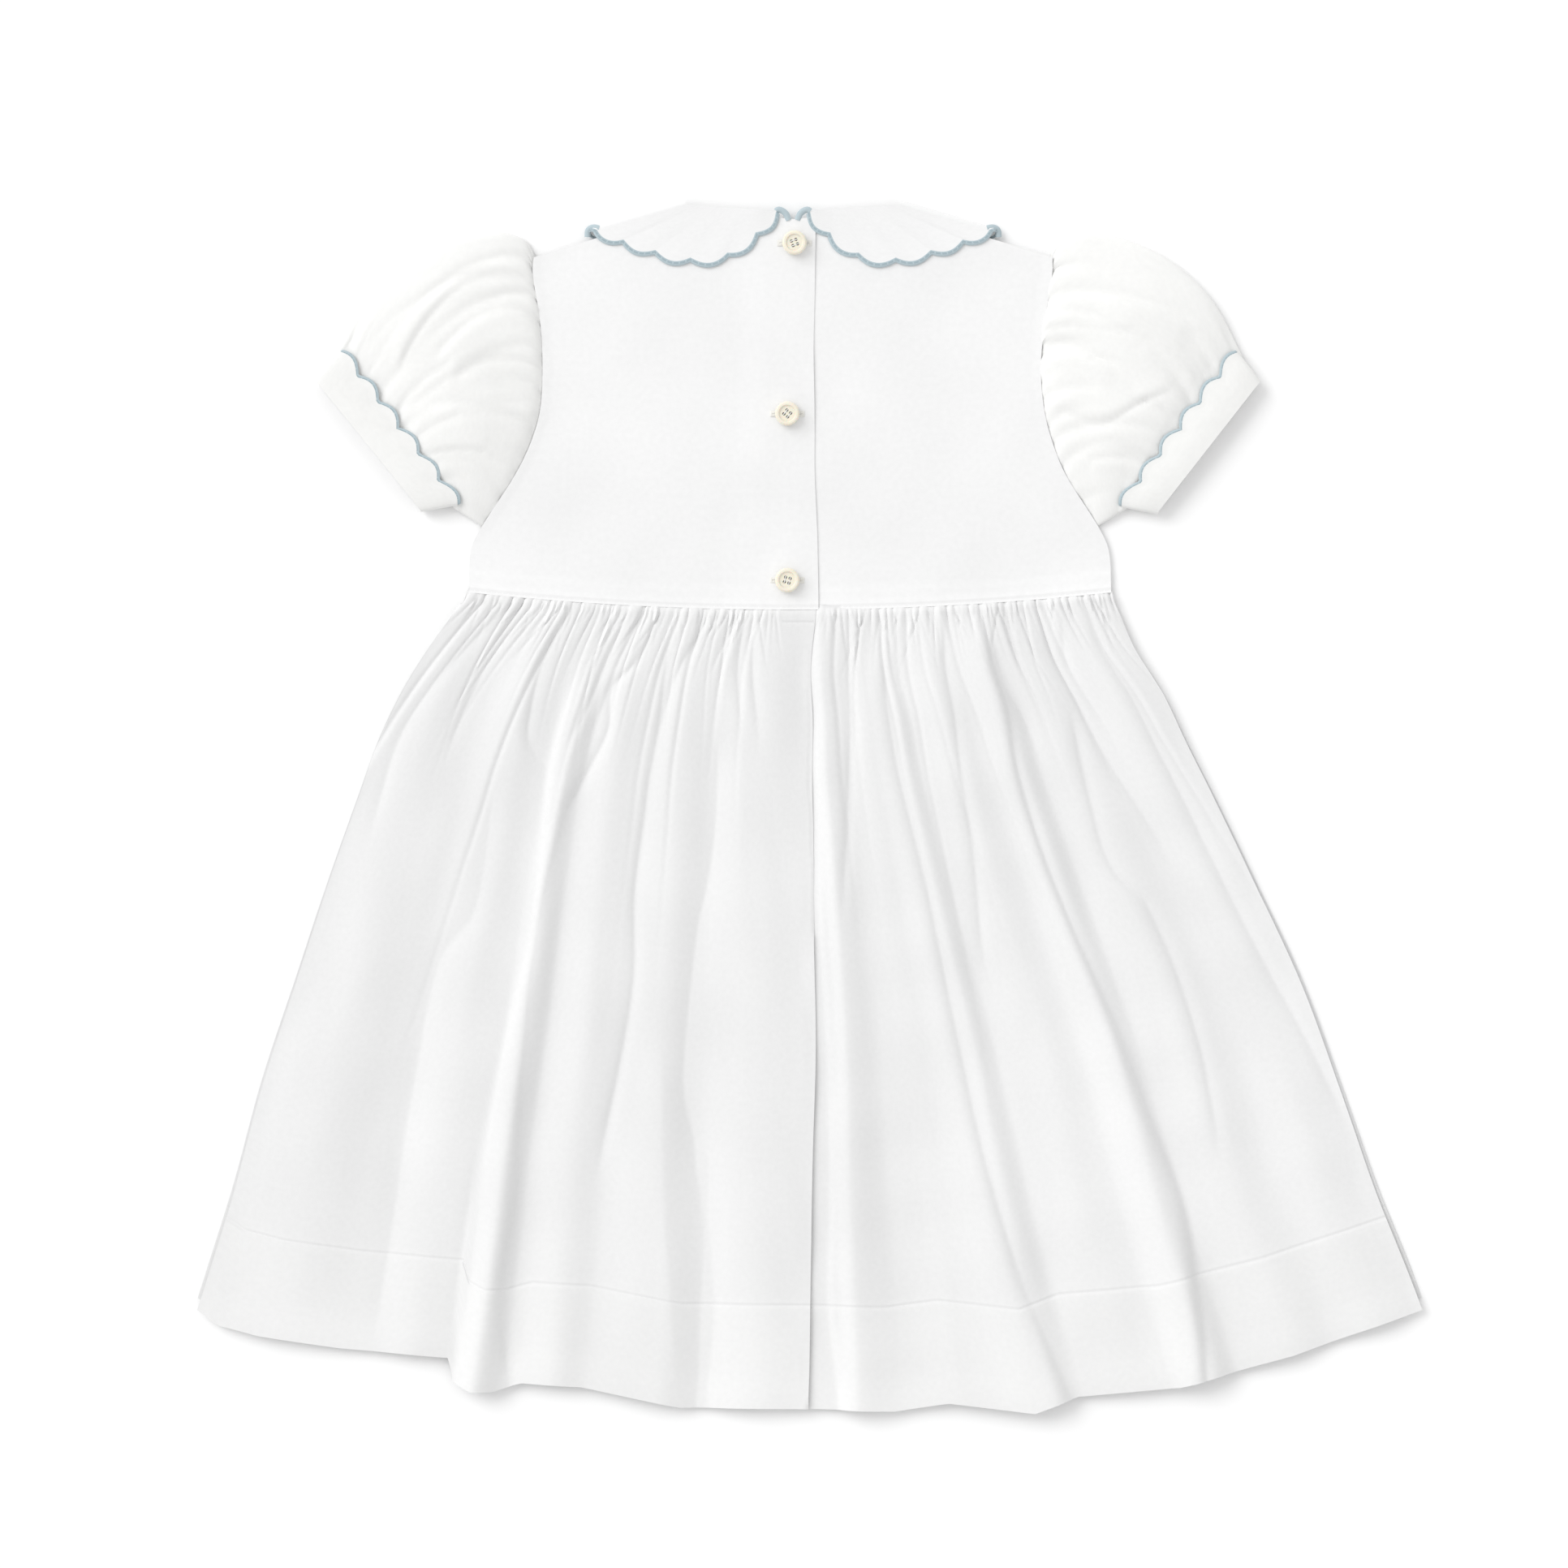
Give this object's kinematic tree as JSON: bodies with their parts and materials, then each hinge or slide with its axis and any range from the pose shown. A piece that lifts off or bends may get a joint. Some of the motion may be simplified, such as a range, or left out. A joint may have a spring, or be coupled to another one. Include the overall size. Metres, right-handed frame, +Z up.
{
  "type": "toddler dress",
  "caption": "Short-sleeved toddler dress laid flat, back up: scalloped two-piece collar, buttoned back placket, puff sleeves with turned-back cuffs and a gathered skirt with a deep hem.",
  "frame": {"origin": "centre of the dress's footprint on the surface that it lies on", "axes": "+Y towards the neck, +X across the dress, +Z up out of the back, which faces up"},
  "size_m": [0.5279, 0.5198, 0.0148],
  "materials": {
    "white_cotton": "matte plain-woven cotton",
    "blue_edging": "matte pale blue binding",
    "ivory_button": "satin"
  },
  "bodies": {
    "root": {"front_bodice": "white_cotton", "back_bodice_left": "white_cotton", "back_bodice_right": "white_cotton", "front_skirt": "white_cotton", "back_skirt_left": "white_cotton", "back_skirt_right": "white_cotton", "sleeve_left": "white_cotton", "sleeve_right": "white_cotton", "cuff_left": "white_cotton", "cuff_right": "white_cotton", "collar_left": "white_cotton", "collar_right": "white_cotton", "cuff_edging_left": "blue_edging", "cuff_edging_right": "blue_edging", "collar_edging_left": "blue_edging", "collar_edging_right": "blue_edging", "button_top": "ivory_button", "button_middle": "ivory_button", "button_bottom": "ivory_button"}
  },
  "joints": []
}
